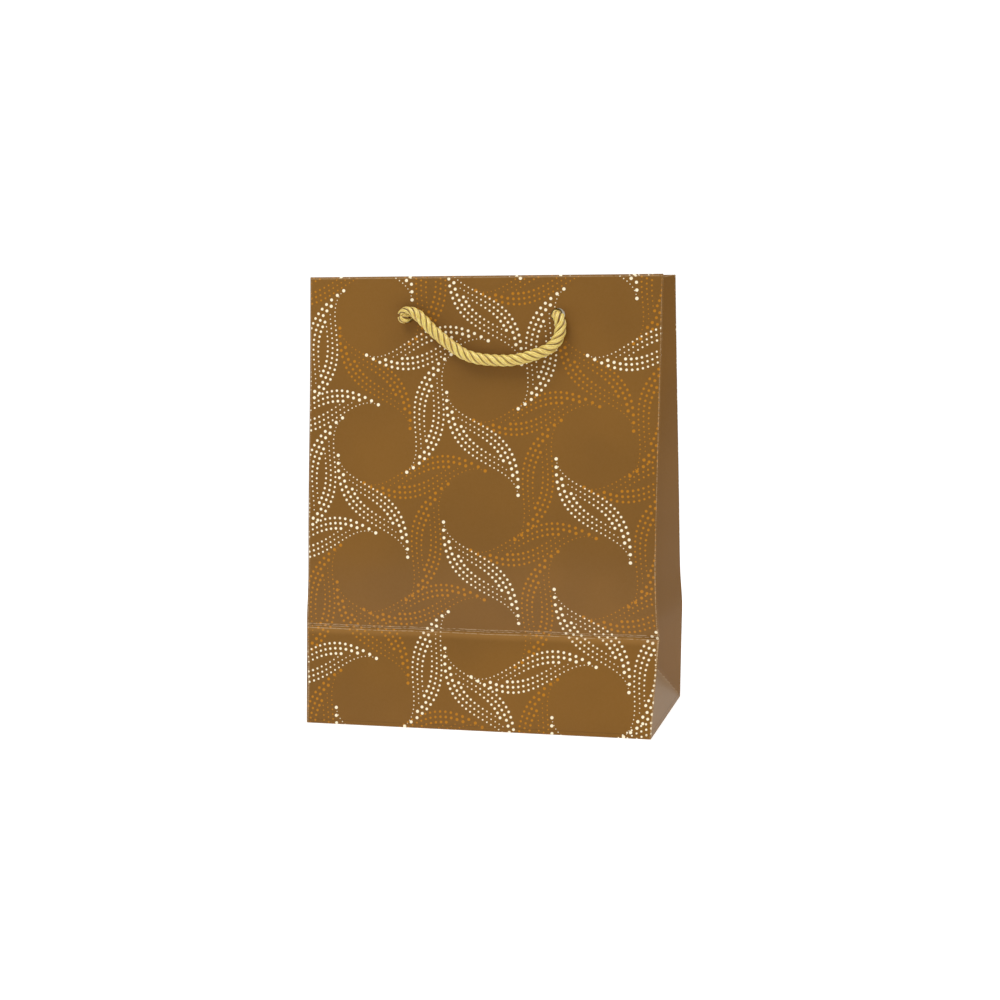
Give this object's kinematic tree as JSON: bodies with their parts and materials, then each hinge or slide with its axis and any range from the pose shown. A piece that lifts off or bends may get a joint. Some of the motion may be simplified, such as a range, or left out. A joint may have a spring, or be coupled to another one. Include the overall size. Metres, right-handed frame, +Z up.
{
  "type": "gift bag",
  "caption": "Upright laminated-paper gift bag with pleated sides, a folded square base, a card-stiffened rim and a twisted rope handle on each broad face.",
  "frame": {"origin": "middle of the base, on the surface that the bag stands on", "axes": "+Z up to the mouth, +X along the width to the right seen from the front, and the front panel faces -Y"},
  "size_m": [0.18, 0.1, 0.2287],
  "materials": {
    "printed_paper": "matt laminated paper in warm brown, printed all over with a pattern of dotted leaves in cream and gold; white uncoated stock on the inside",
    "base_card": "plain grey-white card",
    "rim_card": "plain grey card, covered by the hem",
    "twisted_rope": "four-strand twisted rope of shiny gold yarn"
  },
  "bodies": {
    "bag": {"front_panel": "printed_paper", "front_foot_panel": "printed_paper", "back_panel": "printed_paper", "back_foot_panel": "printed_paper", "right_gusset_front_half": "printed_paper", "right_gusset_back_half": "printed_paper", "left_gusset_front_half": "printed_paper", "left_gusset_back_half": "printed_paper", "right_gusset_front_foot": "printed_paper", "right_gusset_back_foot": "printed_paper", "left_gusset_front_foot": "printed_paper", "left_gusset_back_foot": "printed_paper", "right_foot_triangle": "printed_paper", "left_foot_triangle": "printed_paper", "base_front_flap": "printed_paper", "base_back_flap": "printed_paper", "base_right_flap": "printed_paper", "base_left_flap": "printed_paper", "base_board": "base_card", "side_glue_flap": "printed_paper", "front_rim_board": "rim_card", "back_rim_board": "rim_card", "front_hem": "printed_paper", "back_hem": "printed_paper", "right_gusset_hem": "printed_paper", "left_gusset_hem": "printed_paper", "front_left_knot": "twisted_rope", "front_right_knot": "twisted_rope", "back_left_knot": "twisted_rope", "back_right_knot": "twisted_rope"},
    "front_handle": {"front_handle_rope": "twisted_rope"},
    "back_handle": {"back_handle_rope": "twisted_rope"}
  },
  "joints": [
    {"name": "front_handle_swing", "type": "hinge", "parent": "bag", "child": "front_handle", "pos_m": [0, -0.03368, 0.20907], "axis": [-1, 0, 0], "range_deg": [0, 176]},
    {"name": "back_handle_swing", "type": "hinge", "parent": "bag", "child": "back_handle", "pos_m": [0, 0.03368, 0.20907], "axis": [1, 0, 0], "range_deg": [0, 176]}
  ]
}
